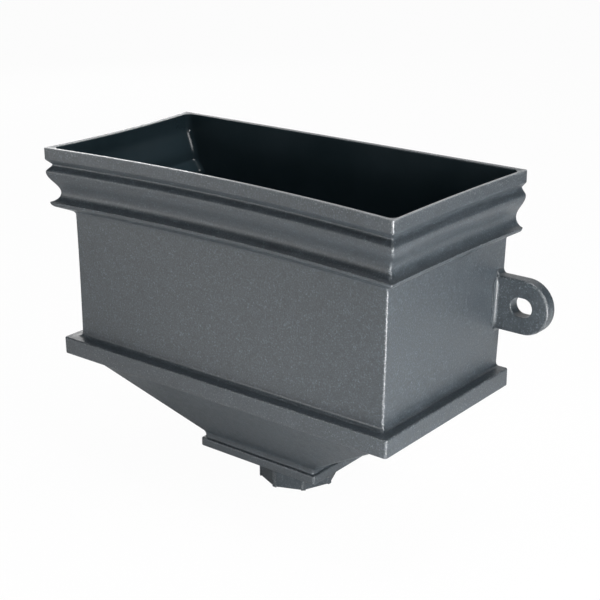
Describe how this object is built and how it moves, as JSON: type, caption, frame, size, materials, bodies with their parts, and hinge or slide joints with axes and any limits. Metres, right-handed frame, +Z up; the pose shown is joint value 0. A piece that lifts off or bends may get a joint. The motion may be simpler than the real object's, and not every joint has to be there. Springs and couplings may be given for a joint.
{
  "type": "downpipe hopper head",
  "caption": "Moulded plastic downpipe hopper head: an open box with a cornice and a ledge, funnelling rainwater to a ribbed spigot, hung on a wall by slotted side lugs.",
  "frame": {"origin": "on the flat back that meets the wall, midway between the two fixing slots", "axes": "+Z up, the front faces -Y, +X along the box towards the right lug"},
  "size_m": [0.4088, 0.1695, 0.283],
  "materials": {
    "grey_plastic": "satin dark grey moulded plastic with a fine grain, smoother inside"
  },
  "bodies": {
    "root": {"hopper_head": "grey_plastic"}
  },
  "joints": []
}
